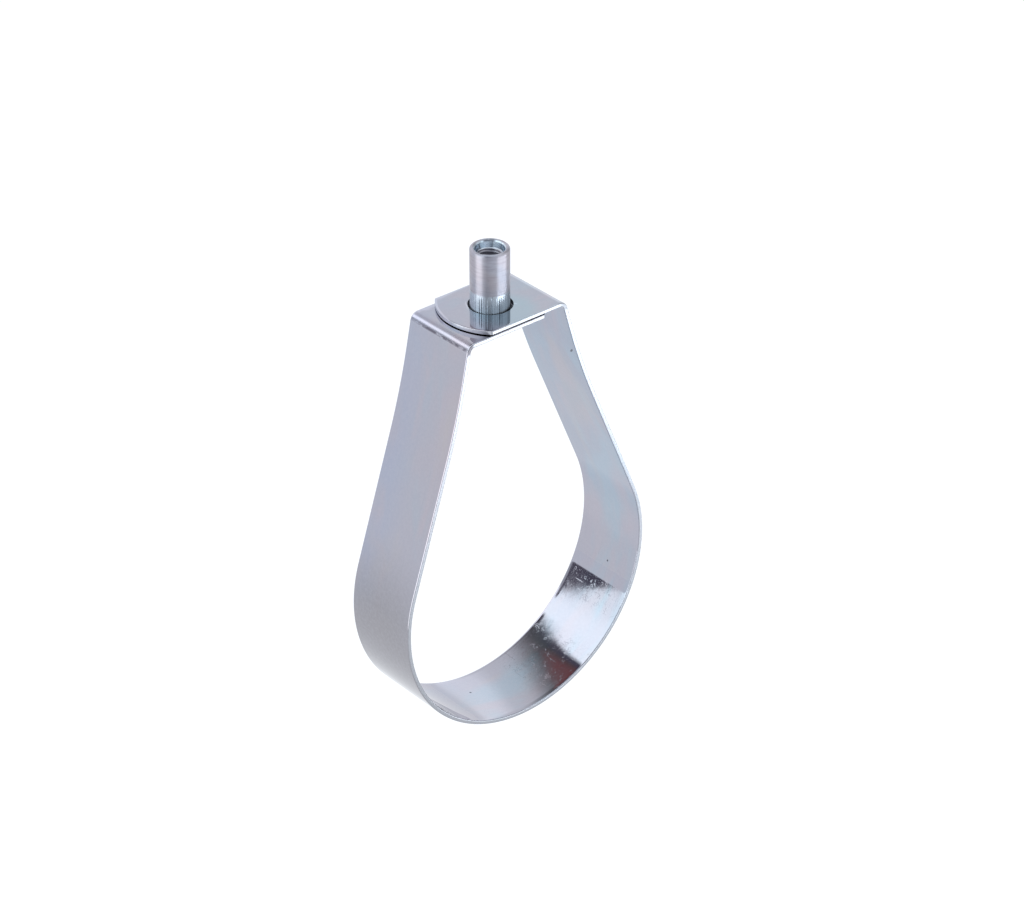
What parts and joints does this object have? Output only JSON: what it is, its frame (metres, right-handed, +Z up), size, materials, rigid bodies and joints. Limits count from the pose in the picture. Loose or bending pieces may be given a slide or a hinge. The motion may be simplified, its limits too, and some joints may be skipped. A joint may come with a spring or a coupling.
{
  "type": "swivel ring hanger",
  "caption": "Teardrop pipe hanger folded from one steel strip, with overlapping laps at the top and a knurled, threaded swivel nut through them.",
  "frame": {"origin": "centre of the round pipe seat, half way along its width", "axes": "+Z up to the rod thread, +Y along the pipe, +X towards the leg that carries the upper lap"},
  "size_m": [0.12, 0.0334, 0.2037],
  "materials": {
    "strap_zinc": "bright zinc plating on rolled strip, blue-grey with faint pink and cyan tints",
    "nut_zinc": "bright zinc plating on turned steel, fine turning lines"
  },
  "bodies": {
    "nut": {"swivel_nut": "nut_zinc"},
    "band": {"ring_band": "strap_zinc"}
  },
  "joints": [
    {"name": "nut_swivel", "type": "hinge", "parent": "nut", "child": "band", "pos_m": [-0.00521, -0.00046, 0.1158], "axis": [0, 0, 1], "continuous": true}
  ]
}
